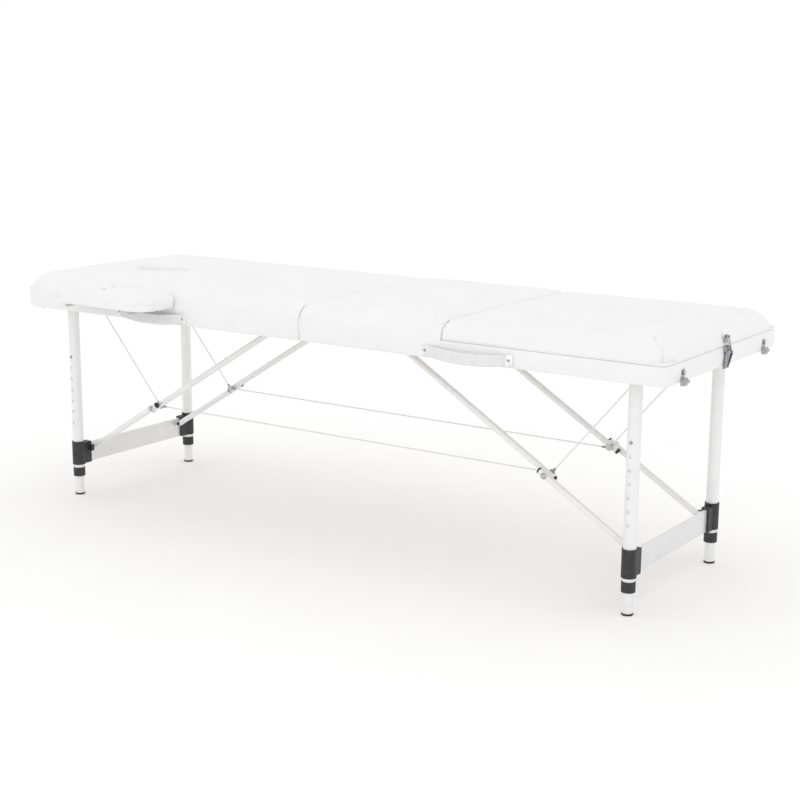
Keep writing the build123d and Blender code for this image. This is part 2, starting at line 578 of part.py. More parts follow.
# ---------------------------------------------------------------- steel cables
# Taut and straight: elbow to axle at each end, and elbow to elbow below the table.
EYE_GAP = 8.0
for side, end in ((-1, "head"), (1, "foot")):
    dx, dz = END_DX / END_SPAN, END_DZ / END_SPAN
    with BuildPart() as end_cables:
        for y in (-CABLE_Y, CABLE_Y):
            start = (side * (ELBOW[0] + dx * EYE_GAP), y, ELBOW[1] + dz * EYE_GAP)
            stop = (side * (LEG_X - dx * EYE_R), y, AXLE_Z - dz * EYE_R)
            tube_between(start, stop, CABLE_R, 0)
    save(end_cables, f"{end}_end_cables")
    print(end, "end cable", END_SPAN - EYE_GAP - EYE_R)

with BuildPart() as long_cables:
    for y in (-CABLE_Y, CABLE_Y):
        tube_between((-ELBOW[0] + EYE_GAP, y, ELBOW[1]), (ELBOW[0] - EYE_GAP, y, ELBOW[1]), CABLE_R, 0)
save(long_cables, "long_cables")
print("long cable", 2 * (ELBOW[0] - EYE_GAP), "struts", UPPER_LEN, LOWER_LEN, "elbow", ELBOW)
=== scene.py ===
"""Looks of the portable massage table: vinyl cushions, straps, cables, small fittings and materials."""
import json
import math
import bmesh
import bpy
import numpy as np
from mathutils import Matrix, Vector


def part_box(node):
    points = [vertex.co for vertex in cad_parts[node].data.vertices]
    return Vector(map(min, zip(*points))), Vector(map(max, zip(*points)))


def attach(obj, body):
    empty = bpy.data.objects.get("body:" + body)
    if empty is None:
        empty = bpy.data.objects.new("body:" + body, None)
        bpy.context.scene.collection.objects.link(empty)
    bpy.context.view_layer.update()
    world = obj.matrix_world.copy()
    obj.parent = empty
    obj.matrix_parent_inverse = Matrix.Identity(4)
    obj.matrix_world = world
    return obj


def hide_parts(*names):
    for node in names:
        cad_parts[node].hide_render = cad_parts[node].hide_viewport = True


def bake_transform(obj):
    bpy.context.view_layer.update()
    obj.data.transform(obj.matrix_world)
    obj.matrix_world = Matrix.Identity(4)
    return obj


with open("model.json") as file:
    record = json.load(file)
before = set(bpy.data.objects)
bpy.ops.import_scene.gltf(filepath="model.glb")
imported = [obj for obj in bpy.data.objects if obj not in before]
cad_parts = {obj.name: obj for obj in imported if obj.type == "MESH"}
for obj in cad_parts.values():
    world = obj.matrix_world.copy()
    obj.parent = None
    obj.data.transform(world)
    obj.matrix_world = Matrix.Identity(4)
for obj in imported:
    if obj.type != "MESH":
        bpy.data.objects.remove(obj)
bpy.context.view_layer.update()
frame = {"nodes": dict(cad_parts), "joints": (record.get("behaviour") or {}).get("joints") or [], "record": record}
scene = bpy.context.scene
JOINTS = {joint["name"]: joint for joint in frame["joints"]}
OPENINGS = {opening["name"]: opening["box_m"] for opening in frame["record"]["physics"]["openings"]}
ENDS = (("head", -1), ("foot", 1))
ROWS = (("near", -1), ("far", 1))

# ------------------------------------------------------------------ places, from the frame
head_low, head_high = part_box("head_pad")
HALF = -head_low.x                      # fold plane to the end of the table
HALF_WIDTH = head_high.y
TOP = head_high.z                       # top of the pads
DECK = head_low.z                       # top of the box frames
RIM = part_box("head_side_cover")[0].z    # lower rim of the box frames
BOARD_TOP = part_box("head_board")[1].z
SKIN = HALF_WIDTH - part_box("head_board")[1].y
lift_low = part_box("backrest_pad")[0]
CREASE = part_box("middle_pad")[1].x
arm_low, arm_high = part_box("armrest_pad")
hole_low, hole_high = OPENINGS["face_hole"]
HOLE_X = (hole_low[0] + hole_high[0]) / 2
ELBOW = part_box("foot_elbow_bolts")
ELBOW_X = (ELBOW[0].x + ELBOW[1].x) / 2
ELBOW_Z = (ELBOW[0].z + ELBOW[1].z) / 2
LEG_X = JOINTS["foot_leg_fold"]["pos_m"][0]
LEG_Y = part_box("foot_far_foot_tip")[0].y / 2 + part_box("foot_far_foot_tip")[1].y / 2
cable_low, cable_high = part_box("long_cables")

# ------------------------------------------------------------------ sizes of the detail, in metres
HOLE_LEN, HOLE_WID = 0.170, 0.120
CORNER = {-1: 0.046, 1: 0.018}          # plan radius of the outer corners
OUTER_EDGE = (0.052, 0.037)             # rounded outer edges of the upholstery: inwards, downwards
INNER_EDGE = (0.012, 0.009)             # tighter edges beside the fold and the crease
ARM_EDGE = (0.034, 0.027)
RIM_EDGE = (0.0027, 0.010)              # rolled lower edge of the vinyl: inwards, upwards
SEAM_EDGE = (0.0024, 0.0055)            # the same beside the gap of the lifting section
CROWN = 0.0035                          # how far the foam stands proud in the middle
SEAM = 0.0003                           # each cushion stops this far from the fold and from the crease
END_WALL = 0.006                        # how near an end face counts as that face
CABLE_R = 0.0015
STRUT_R = 0.0075
STRUT_TAIL = 0.016                      # how far each strut runs on past the elbow
LEG_R = 0.0145
RIVET_Z = 0.457                         # rivets in the outer face of the legs
PEG_R = 0.005
ARM_CORNER = 0.042


# ------------------------------------------------------------------ mesh helpers
def add_object(name, mesh, body, look=None, smooth=True):
    """Link a mesh as a piece that rides on a body, takes a slot and a material."""
    piece = bpy.data.objects.new(name, mesh)
    scene.collection.objects.link(piece)
    if smooth:
        mesh.polygons.foreach_set("use_smooth", [True] * len(mesh.polygons))
    if look:
        mesh.materials.append(look)
    if body:
        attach(piece, body)
    return piece


def ring_mesh(name, rings, loop=False, capped=True):
    """Mesh skinned over rings of points. loop joins the last ring to the first."""
    count = len(rings[0])
    points = np.concatenate(rings).tolist()
    total = len(rings)
    faces = []
    for i in range(total if loop else total - 1):
        a, b = i * count, ((i + 1) % total) * count
        for j in range(count):
            k = (j + 1) % count
            faces.append((a + j, a + k, b + k, b + j))
    if capped and not loop:
        for ring, base, flip in ((rings[0], 0, True), (rings[-1], (total - 1) * count, False)):
            hub = len(points)
            points.append(np.mean(ring, axis=0).tolist())
            for j in range(count):
                k = (j + 1) % count
                faces.append((base + k, base + j, hub) if flip else (base + j, base + k, hub))
    mesh = bpy.data.meshes.new(name)
    mesh.from_pydata(points, [], faces)
    sheet = bmesh.new()
    sheet.from_mesh(mesh)
    bmesh.ops.recalc_face_normals(sheet, faces=sheet.faces)
    sheet.to_mesh(mesh)
    sheet.free()
    return mesh


def frame_of(axis):
    """Two directions at right angles to an axis."""
    axis = Vector(axis).normalized()
    across = axis.cross(Vector((0, 0, 1)) if abs(axis.z) < 0.9 else Vector((1, 0, 0))).normalized()
    return axis, across, axis.cross(across)


def lathe_rings(profile, origin, axis, turns=24):
    """Rings of a turned piece. profile is a list of (distance along the axis, radius)."""
    axis, across, up = frame_of(axis)
    angles = [2 * math.pi * i / turns for i in range(turns)]
    rings = []
    for along, radius in profile:
        centre = Vector(origin) + axis * along
        rings.append(np.array([centre + (across * math.cos(a) + up * math.sin(a)) * radius for a in angles]))
    return rings


def joined(name, meshes):
    """One mesh from several."""
    whole = bmesh.new()
    for mesh in meshes:
        whole.from_mesh(mesh)
        bpy.data.meshes.remove(mesh)
    result = bpy.data.meshes.new(name)
    whole.to_mesh(result)
    whole.free()
    return result


def turned(name, profile, places, axis, body, look):
    """The same turned piece at several places, as one object."""
    meshes = [ring_mesh("turned", lathe_rings(profile, place, axis)) for place in places]
    return add_object(name, joined(name, meshes), body, look)


def dome(radius, height, base=0.0):
    """Profile of a flat-sided button with a domed top."""
    steps = [i / 6 * math.pi / 2 for i in range(7)]
    rim = [(base, radius), (base + height * 0.35, radius)]
    crown = [(base + height * (0.35 + 0.65 * math.sin(a)), radius * max(math.cos(a), 0.04)) for a in steps]
    return rim + crown[1:]


# ------------------------------------------------------------------ materials
def nodes_of(name):
    """A new material, its node tree and its main shader."""
    look = bpy.data.materials.new(name)
    look.use_nodes = True
    tree = look.node_tree
    return look, tree, tree.nodes["Principled BSDF"]


def texture(tree, kind, scale, stretch=(1, 1, 1), **settings):
    """A procedural texture in the piece's own coordinates."""
    place = tree.nodes.new("ShaderNodeTexCoord")
    mapping = tree.nodes.new("ShaderNodeMapping")
    mapping.inputs["Scale"].default_value = stretch
    tree.links.new(place.outputs["Object"], mapping.inputs["Vector"])
    node = tree.nodes.new(kind)
    node.inputs["Scale"].default_value = scale
    for key, value in settings.items():
        if key in node.inputs:
            node.inputs[key].default_value = value
        else:
            setattr(node, key, value)
    tree.links.new(mapping.outputs["Vector"], node.inputs["Vector"])
    return node


def spread(tree, source, stops):
    """Map a texture value to colours through a ramp. stops are (place, colour)."""
    ramp = tree.nodes.new("ShaderNodeValToRGB")
    ramp.color_ramp.elements[0].position, ramp.color_ramp.elements[0].color = stops[0][0], (*stops[0][1], 1)
    ramp.color_ramp.elements[1].position, ramp.color_ramp.elements[1].color = stops[1][0], (*stops[1][1], 1)
    for place, colour in stops[2:]:
        ramp.color_ramp.elements.new(place).color = (*colour, 1)
    tree.links.new(source, ramp.inputs["Fac"])
    return ramp.outputs["Color"]


def vary(tree, source, low, high):
    """Map a texture value to a range of roughness."""
    node = tree.nodes.new("ShaderNodeMapRange")
    node.inputs["To Min"].default_value = low
    node.inputs["To Max"].default_value = high
    tree.links.new(source, node.inputs["Value"])
    return node.outputs["Result"]


def bumps(tree, shader, layers):
    """Stack bump layers of (height output, strength, distance in metres)."""
    previous = None
    for height, strength, distance in layers:
        node = tree.nodes.new("ShaderNodeBump")
        node.inputs["Strength"].default_value = strength
        node.inputs["Distance"].default_value = distance
        tree.links.new(height, node.inputs["Height"])
        if previous:
            tree.links.new(previous, node.inputs["Normal"])
        previous = node.outputs["Normal"]
    tree.links.new(previous, shader.inputs["Normal"])


def vinyl_look():
    """White upholstery vinyl: pebbled grain, faint mottling, satin sheen."""
    look, tree, shader = nodes_of("white_vinyl")
    mottle = texture(tree, "ShaderNodeTexNoise", 14, Detail=4.0)
    colour = spread(tree, mottle.outputs["Fac"],
                    [(0.3, (0.845, 0.845, 0.845)), (0.7, (0.875, 0.875, 0.875))])
    tree.links.new(colour, shader.inputs["Base Color"])
    grain = texture(tree, "ShaderNodeTexVoronoi", 620, feature="DISTANCE_TO_EDGE")
    fine = texture(tree, "ShaderNodeTexNoise", 1800, Detail=3.0)
    pull = texture(tree, "ShaderNodeTexNoise", 22, Detail=2.0)
    tree.links.new(vary(tree, mottle.outputs["Fac"], 0.40, 0.52), shader.inputs["Roughness"])
    bumps(tree, shader, [(pull.outputs["Fac"], 0.25, 0.004), (grain.outputs["Distance"], 0.35, 0.0004),
                         (fine.outputs["Fac"], 0.20, 0.0002)])
    shader.inputs["Specular IOR Level"].default_value = 0.42
    return look


def strap_look():
    """White padded strap: smooth vinyl with a faint fine grain."""
    look, tree, shader = nodes_of("strap_vinyl")
    soil = texture(tree, "ShaderNodeTexNoise", 60, Detail=3.0)
    grain = texture(tree, "ShaderNodeTexVoronoi", 900, feature="DISTANCE_TO_EDGE")
    colour = spread(tree, soil.outputs["Fac"], [(0.3, (0.74, 0.74, 0.74)), (0.7, (0.80, 0.80, 0.80))])
    tree.links.new(colour, shader.inputs["Base Color"])
    tree.links.new(vary(tree, soil.outputs["Fac"], 0.46, 0.58), shader.inputs["Roughness"])
    bumps(tree, shader, [(grain.outputs["Distance"], 0.25, 0.0003)])
    return look


def metal_look(name, colour, roughness, stretch, metallic=1.0, streak=0.25, tint=0.05):
    """Drawn or brushed metal: fine lines along one direction, faint cloudy wear."""
    look, tree, shader = nodes_of(name)
    lines = texture(tree, "ShaderNodeTexNoise", 260, stretch, Detail=4.0)
    cloud = texture(tree, "ShaderNodeTexNoise", 30, Detail=4.0)
    darker = tuple(max(c - tint, 0) for c in colour)
    tone = spread(tree, cloud.outputs["Fac"], [(0.3, darker), (0.7, colour)])
    tree.links.new(tone, shader.inputs["Base Color"])
    gloss = vary(tree, lines.outputs["Fac"], roughness - 0.07, roughness + 0.09)
    tree.links.new(gloss, shader.inputs["Roughness"])
    shader.inputs["Metallic"].default_value = metallic
    bumps(tree, shader, [(lines.outputs["Fac"], streak, 0.00012)])
    return look


def plastic_look(name, colour, roughness, grain=0.3):
    """Moulded plastic or rubber: spark-eroded texture and paler scuffs."""
    look, tree, shader = nodes_of(name)
    scuff = texture(tree, "ShaderNodeTexNoise", 70, Detail=6.0)
    paler = tuple(c * 1.5 + 0.012 for c in colour)
    tone = spread(tree, scuff.outputs["Fac"], [(0.45, colour), (0.8, paler)])
    tree.links.new(tone, shader.inputs["Base Color"])
    pits = texture(tree, "ShaderNodeTexNoise", 2200, Detail=2.0)
    gloss = vary(tree, scuff.outputs["Fac"], roughness - 0.05, roughness + 0.12)
    tree.links.new(gloss, shader.inputs["Roughness"])
    bumps(tree, shader, [(pits.outputs["Fac"], grain, 0.0002)])
    return look


def wood_look(name, stretch):
    """Birch plywood: long soft grain with darker pores."""
    look, tree, shader = nodes_of(name)
    grain = texture(tree, "ShaderNodeTexNoise", 26, stretch, Detail=8.0, Distortion=0.8)
    pores = texture(tree, "ShaderNodeTexNoise", 420, stretch, Detail=3.0)
    colour = spread(tree, grain.outputs["Fac"],
                    [(0.30, (0.74, 0.69, 0.60)), (0.72, (0.84, 0.80, 0.73)), (0.5, (0.79, 0.74, 0.67))])
    tree.links.new(colour, shader.inputs["Base Color"])
    tree.links.new(vary(tree, pores.outputs["Fac"], 0.50, 0.70), shader.inputs["Roughness"])
    bumps(tree, shader, [(pores.outputs["Fac"], 0.3, 0.0003), (grain.outputs["Fac"], 0.15, 0.0006)])
    return look


VINYL = vinyl_look()
STRAP = strap_look()
LEG_METAL = metal_look("satin_leg_tube", (0.86, 0.86, 0.865), 0.34, (6, 6, 0.15), metallic=0.35, tint=0.03)
STRUT_METAL = metal_look("satin_strut_tube", (0.86, 0.86, 0.865), 0.32, (0.5, 6, 0.5), metallic=0.2,
                         tint=0.03)
BAR_METAL = metal_look("brushed_bar", (0.80, 0.80, 0.805), 0.36, (6, 0.12, 6), metallic=0.5, streak=0.35,
                       tint=0.03)
ZINC = metal_look("zinc_plate", (0.62, 0.63, 0.64), 0.40, (2, 2, 2), streak=0.2, tint=0.10)
CHROME = metal_look("bright_plate", (0.42, 0.42, 0.43), 0.18, (1, 1, 1), streak=0.05, tint=0.02)
WIRE = metal_look("galvanised_wire", (0.84, 0.84, 0.845), 0.38, (3, 3, 3), metallic=0.4, streak=0.2,
                  tint=0.06)
BLACK = plastic_look("black_nylon", (0.022, 0.022, 0.024), 0.46)
RUBBER = plastic_look("black_rubber", (0.018, 0.018, 0.018), 0.72, grain=0.6)
WHITE_PLASTIC = plastic_look("white_nylon", (0.74, 0.74, 0.74), 0.42, grain=0.2)
PLY_LONG = wood_look("plywood", (0.25, 4, 4))

LOOK_OF_SLOT = {
    "vinyl": VINYL, "handle_webbing": STRAP, "plywood": PLY_LONG, "armrest_board": ZINC,
    "leg_tube": LEG_METAL, "inner_tube": LEG_METAL, "strut_tube": STRUT_METAL, "crossbar_plate": BAR_METAL,
    "axle_tube": ZINC, "black_plastic": BLACK, "foot_rubber": RUBBER, "button_steel": CHROME,
    "elbow_steel": ZINC, "bracket_steel": ZINC, "chrome": CHROME, "steel_cable": WIRE}
for part in frame["record"]["subparts"]:
    for socket in frame["nodes"][part["node"]].material_slots:
        socket.material = LOOK_OF_SLOT[part["material_slot"]]


# ------------------------------------------------------------------ upholstery
def outline(length, half, inset, r_near, r_far, side_points=(70, 46), arc_points=14):
    """Rounded rectangle round (u, v), u from 0 at the near side, drawn in by inset."""
    corners = ((r_near, 0, -1, 180), (r_far, 1, -1, 270), (r_far, 1, 1, 0), (r_near, 0, 1, 90))
    arcs = []
    for radius, far, sign, start in corners:
        r = max(radius - inset, 0.0008)
        cu = length - inset - r if far else inset + r
        cv = sign * (half - inset - r)
        angles = [math.radians(start + 90 * i / arc_points) for i in range(arc_points + 1)]
        arcs.append([(cu + r * math.cos(a), cv + r * math.sin(a)) for a in angles])
    points = []
    for i, arc in enumerate(arcs):
        points += arc
        start, stop = arc[-1], arcs[(i + 1) % 4][0]
        count = side_points[i % 2]
        for j in range(1, count):
            share = j / count
            points.append((start[0] + (stop[0] - start[0]) * share, start[1] + (stop[1] - start[1]) * share))
    return np.array(points)


def drop(distance, wide, deep):
    """Fall of a rounded edge, wide inwards and deep downwards, at a distance inside it."""
    inside = 1 - np.clip(distance / wide, 0, 1)
    return deep * (1 - np.sqrt(1 - inside ** 2))


def ripple(u, v):
    """Slow unevenness of hand-stretched vinyl, about half a millimetre."""
    waves = np.sin(u * 17 + v * 9 + 0.4) + np.sin(v * 23 - u * 7 + 1.9) + np.sin((u + v) * 31 + 3.1)
    return waves * 0.00018


def cushion(name, place, length, half, r_near, r_far, bottom, sheet, top, rim, edges, hole=None, crown=CROWN,
            inner_ends=1):
    """Foam and board wrapped in vinyl, with a skirt down to bottom. place maps (u, v, z) to the frame.

    With two inner ends, the skirt of the far end stops at the deck and leaves the leg bay open.
    """
    edge_near, edge_far = edges
    soft_corner = r_far * 0.5 + 0.045
    rim_in, rim_up = rim
    hole_u, hole_a, hole_b = hole or (length / 2, 0.010, 0.010)

    def height(flat):
        u, v = flat[:, 0], flat[:, 1]
        if inner_ends == 2:
            near = np.clip(np.minimum(u, length - u), 0, None)
            far = half - np.abs(v)
        else:
            near = np.clip(u, 0, None)
            past_u = np.clip(u - (length - soft_corner), 0, None)
            past_v = np.clip(np.abs(v) - (half - soft_corner), 0, None)
            far = soft_corner - np.hypot(past_u, past_v)
            far = np.where(past_u + past_v > 0, far, np.minimum(length - u, half - np.abs(v)))
        fall = np.maximum(drop(far, *edge_far), drop(near, *edge_near))
        swell = crown * (1 - np.exp(-np.clip(far, 0, None) / 0.05)) * (1 - 0.75 * np.exp(-near / 0.03))
        if hole:
            reach = (np.hypot((u - hole_u) / hole_a, v / hole_b) - 1) * min(hole_a, hole_b)
            fall = np.maximum(fall, drop(reach, 0.014, 0.011))
            swell = swell * (1 - np.exp(-np.clip(reach, 0, None) / 0.03))
        return top - fall + swell + ripple(u, v) * np.clip(far / 0.05, 0, 1)

    def ring(flat, z):
        flat = flat.copy()
        flat[:, 0] = np.clip(flat[:, 0], 0, None)
        z = z + np.zeros(len(flat))
        if inner_ends == 2:
            end_wall = (flat[:, 0] > length - END_WALL) & (np.abs(flat[:, 1]) < half - END_WALL)
            z = np.where(end_wall, np.maximum(z, DECK + 0.0006 + 0.01 * (z - bottom)), z)
        return np.array(place(flat[:, 0], flat[:, 1], z))

    def at(inset):
        return outline(length, half, inset, r_near, r_far)

    brim = height(at(0.0))
    side_height = float(np.mean(brim)) - bottom - rim_up
    rings = [ring(at(SKIN), sheet), ring(at(SKIN), bottom + 0.0010), ring(at(SKIN * 0.96), bottom + 0.0002)]
    for i in range(6):
        turn = i / 5 * math.pi / 2
        rings.append(ring(at(rim_in * (1 - math.sin(turn))), bottom + rim_up * (1 - math.cos(turn))))
    for i in range(1, 9):
        share = i / 8
        swell = min(0.0016, 0.06 * side_height) * math.sin(share * math.pi)
        rings.append(ring(at(-swell), bottom + rim_up + (brim - bottom - rim_up) * share))
    for inset in (0.0002, 0.0008, 0.002, 0.004, 0.0065, 0.010, 0.0145, 0.020, 0.027, 0.036):
        flat = at(inset)
        rings.append(ring(flat, height(flat)))
    start = at(0.036)
    bearing = np.arctan2(start[:, 1], start[:, 0] - hole_u)
    reach = hole_a * hole_b / np.hypot(hole_b * np.cos(bearing), hole_a * np.sin(bearing))

    def about_hole(outset):
        return np.stack([hole_u + (reach + outset) * np.cos(bearing), (reach + outset) * np.sin(bearing)], 1)

    stop = about_hole(0.013)
    for i in range(1, 37):
        flat = start + (stop - start) * (i / 36)
        rings.append(ring(flat, height(flat)))
    if hole:
        for outset in (0.010, 0.0075, 0.005, 0.003, 0.0014, 0.0004, 0.0):
            flat = about_hole(outset)
            rings.append(ring(flat, height(flat)))
        wall = about_hole(-0.0008)
        for share in (0.2, 0.4, 0.6, 0.8, 1.0):
            rings.append(ring(wall, top - 0.012 + (DECK - 0.0008 - top + 0.012) * share))
        rings.append(ring(about_hole(0.008), DECK - 0.0009))
        rings.append(ring(about_hole(0.012), sheet))
    return ring_mesh(name, rings, loop=bool(hole))


def inflate(piece, pinned_below, cap, frames=16, pressure=4.0):
    """Swell a cushion with a short cloth simulation, pinned below a height, and cap the swell."""
    before = np.array([v.co for v in piece.data.vertices])
    group = piece.vertex_groups.new(name="pinned")
    group.add([i for i, co in enumerate(before) if co[2] < pinned_below], 1.0, "REPLACE")
    cloth = piece.modifiers.new("cloth", "CLOTH")
    cloth.settings.quality = 4
    cloth.settings.use_pressure = True
    cloth.settings.uniform_pressure_force = pressure
    cloth.settings.vertex_group_mass = "pinned"
    cloth.settings.effector_weights.gravity = 0
    cloth.point_cache.frame_end = frames
    for step in range(1, frames + 1):
        scene.frame_set(step)
    solved = piece.evaluated_get(bpy.context.evaluated_depsgraph_get())
    after = np.array([v.co for v in solved.data.vertices])
    piece.modifiers.clear()
    piece.vertex_groups.clear()
    scene.frame_set(1)
    move = after - before
    size = np.linalg.norm(move, axis=1)
    soft = cap * np.tanh(size / cap) / np.maximum(size, 1e-9)
    piece.data.vertices.foreach_set("co", (before + move * soft[:, None]).ravel())
    piece.data.update()


def hold_clear(piece, axis, limit, sign):
    """Keep a cushion on its own side of a plane across one axis."""
    for vertex in piece.data.vertices:
        if (vertex.co[axis] - limit) * sign < 0:
            vertex.co[axis] = limit


def along_x(side, near):
    """Local (u, v, z) to the frame, u running out from the fold on one side."""
    def place(u, v, z):
        return np.stack([side * (near + u), v, z], 1)
    return place


SHEET = (DECK + BOARD_TOP) / 2
EDGES = (INNER_EDGE, OUTER_EDGE)
CREASE_MID = (CREASE + lift_low.x) / 2
FACE_HOLE = (-HOLE_X - SEAM, HOLE_LEN / 2, HOLE_WID / 2)
SECTIONS = (
    # name, body, side, near end, far end, corner radii, lower edge, rim, hole, replaced nodes
    ("head_cushion", "head_half", -1, SEAM, HALF, 0.010, CORNER[-1], RIM, RIM_EDGE, FACE_HOLE,
     ("head_pad", "head_side_cover")),
    ("middle_cushion", "foot_half", 1, SEAM, CREASE_MID - SEAM, 0.006, 0.004, RIM, RIM_EDGE, None,
     ("middle_pad",)),
    ("lifting_cushion", "backrest", 1, CREASE_MID + SEAM, HALF, 0.006, CORNER[1], lift_low.z, SEAM_EDGE,
     None, ("backrest_pad",)))


for name, body, side, near, far, r_near, r_far, bottom, rim, hole, nodes in SECTIONS:
    mesh = cushion(name, along_x(side, near), far - near, HALF_WIDTH, r_near, r_far, bottom, SHEET, TOP, rim,
                   EDGES, hole, inner_ends=2 if name == "middle_cushion" else 1)
    piece = add_object(name, mesh, None, VINYL)
    inflate(piece, BOARD_TOP + 0.004, 0.002)
    hold_clear(piece, 0, side * near, side)
    if name == "middle_cushion":
        hold_clear(piece, 0, far, -side)
    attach(piece, body)
    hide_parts(*nodes)

ARM_MID = (arm_low.x + arm_high.x) / 2


def along_arm(u, v, z):
    """Local (u, v, z) of the armrest to the frame, u running out from the side of the table."""
    return np.stack([ARM_MID + v, arm_high.y - u, z], 1)


arm_mesh = cushion("armrest_cushion", along_arm, arm_high.y - arm_low.y, (arm_high.x - arm_low.x) / 2, 0.008,
                   ARM_CORNER, arm_low.z, arm_low.z + 0.0025, arm_high.z, SEAM_EDGE,
                   ((0.006, 0.005), ARM_EDGE), crown=0.0025)
arm_cushion = add_object("armrest_cushion", arm_mesh, None, VINYL)
inflate(arm_cushion, arm_low.z + 0.006, 0.002)
hold_clear(arm_cushion, 1, arm_high.y, -1)
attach(arm_cushion, "armrest")
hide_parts("armrest_pad")


def frame_wrap():
    """Vinyl round the lower frame below the lifting section, with rolled top and bottom edges."""
    run = outline(HALF, HALF_WIDTH, 0.0, 0.010, CORNER[1])
    turns = [i / 6 * math.pi / 2 for i in range(7)]
    profile = [(SKIN, RIM + 0.0010)]
    profile += [(RIM_EDGE[0] * (1 - math.sin(a)), RIM + RIM_EDGE[1] * (1 - math.cos(a))) for a in turns]
    profile += [(-0.0014 * math.sin(i / 6 * math.pi), RIM + RIM_EDGE[1] + (DECK - RIM - 0.016) * i / 6)
                for i in range(1, 6)]
    profile += [(SEAM_EDGE[0] * (1 - math.cos(a)), DECK - 0.006 * (1 - math.sin(a))) for a in turns]
    profile += [(SKIN + 0.004, DECK - 0.0003), (SKIN + 0.004, DECK - 0.0010), (SKIN, DECK - 0.0015)]
    layers = [outline(HALF, HALF_WIDTH, inset, 0.010, CORNER[1]) for inset, _ in profile]
    kept = [i for i in range(len(run)) if run[i, 0] > CREASE - 0.012]
    breaks = [i for i in range(len(kept) - 1) if kept[i + 1] - kept[i] > 1]
    first = breaks[0] + 1 if breaks else 0
    order = kept[first:] + kept[:first]
    rings = []
    for i in order:
        rings.append(np.array([(*layer[i], z) for layer, (_, z) in zip(layers, profile)]))
    return ring_mesh("foot_frame_wrap", rings)


wrap = add_object("foot_frame_wrap", frame_wrap(), "foot_half", VINYL)
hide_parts("foot_side_cover")

# Thin vinyl web over the crease hinge, sunk between the two cushions.
web_z = TOP - 0.0065
web_rings = []
for share in np.linspace(-1, 1, 25):
    y = share * (HALF_WIDTH - 0.034)
    section = [(-0.0045, 0.0012), (-0.002, -0.0004), (0.002, -0.0004), (0.0045, 0.0012), (0.002, -0.0012),
               (-0.002, -0.0012)]
    web_rings.append(np.array([(CREASE_MID + x, y, web_z + z) for x, z in section]))
web = add_object("crease_web", ring_mesh("crease_web", web_rings), None, VINYL)
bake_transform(web)


# Black escutcheons where the armrest pegs enter the side of the table: their black is painted shade, a dark ring
# standing in for the shadow in the peg holes.
PEG_X = (-0.660, -0.445)
PEG_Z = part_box("armrest_frame")[0].z + PEG_R
ring_profile = [(-0.001, 0.0054), (-0.001, 0.0100), (0.0012, 0.0100), (0.0022, 0.0088), (0.0022, 0.0062),
                (0.0014, 0.0054)]
peg_places = [Vector((x, -HALF_WIDTH + 0.0005, PEG_Z)) for x in PEG_X]
turned("peg_shade_escutcheons", ring_profile, peg_places, (0, -1, 0), "head_half", BLACK)


# ------------------------------------------------------------------ carrying handles
def rounded_block(name, low, high, bevel, segments=3):
    """A box between two corners with rounded edges."""
    block = bmesh.new()
    bmesh.ops.create_cube(block, size=1.0)
    size = [h - l for l, h in zip(low, high)]
    middle = [(h + l) / 2 for l, h in zip(low, high)]
    block.transform(Matrix.Translation(middle) @ Matrix.Diagonal((*size, 1)))
    bmesh.ops.bevel(block, geom=block.edges[:] + block.verts[:], offset=bevel, segments=segments,
                    affect="EDGES", profile=0.5)
    mesh = bpy.data.meshes.new(name)
    block.to_mesh(mesh)
    block.free()
    return mesh


STRAP_RIBS = 3
STRAP_THICK = 0.0042
MOUNT_WIDE = 0.016


def strap_section(height):
    """Section of the padded strap: (outward, up), with ribs on the outer face."""
    points = []
    steps = 30
    for i in range(steps + 1):
        share = i / steps
        rib = abs(math.sin(share * math.pi * STRAP_RIBS)) ** 0.6
        edge = math.sqrt(max(1 - (2 * share - 1) ** 8, 0))
        points.append((STRAP_THICK / 2 * edge * (0.62 + 0.38 * rib), (share - 0.5) * height))
    back = [(-STRAP_THICK / 2 * math.sqrt(max(1 - (2 * i / 8 - 1) ** 8, 0)), (i / 8 - 0.5) * height)
            for i in range(7, 0, -1)]
    return points + back


for end, side in ENDS:
    low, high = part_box(f"{end}_handle")
    face = high.y
    mid_x = (low.x + high.x) / 2
    half_span = (high.x - low.x) / 2 - MOUNT_WIDE / 2
    bow = face - low.y - STRAP_THICK / 2
    z_mid = (low.z + high.z) / 2 - 0.0015
    rings = []
    for share in np.linspace(-1, 1, 49):
        x = mid_x + share * (half_span - 0.003)
        y = face - 0.0032 - (bow - 0.0032) * (1 - share ** 2) ** 0.85
        slack = -0.0065 * (1 - share ** 2)
        height = 0.0270 - 0.006 * abs(share) ** 6
        slope = share * 2 * bow / half_span
        lean = math.atan(slope)
        rings.append(np.array([(x + out * math.sin(lean), y - out * math.cos(lean), z_mid + slack + up)
                               for out, up in strap_section(height)]))
    strap = add_object(f"{end}_handle_strap", ring_mesh("strap", rings), f"{end}_half",
                       STRAP)
    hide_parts(f"{end}_handle")
    mounts = []
    screws = []
    for sign in (-1, 1):
        x = mid_x + sign * half_span
        mounts.append(rounded_block("mount", (x - 0.0085, face - 0.0068, z_mid - 0.0145),
                                    (x + 0.0085, face + 0.0004, z_mid + 0.0145), 0.0028))
        screws.append((x, face - 0.0062, z_mid))
    add_object(f"{end}_handle_mounts", joined("mounts", mounts), f"{end}_half",
               WHITE_PLASTIC)
    turned(f"{end}_handle_screws", dome(0.0036, 0.0018), screws, (0, -1, 0), f"{end}_half", CHROME)


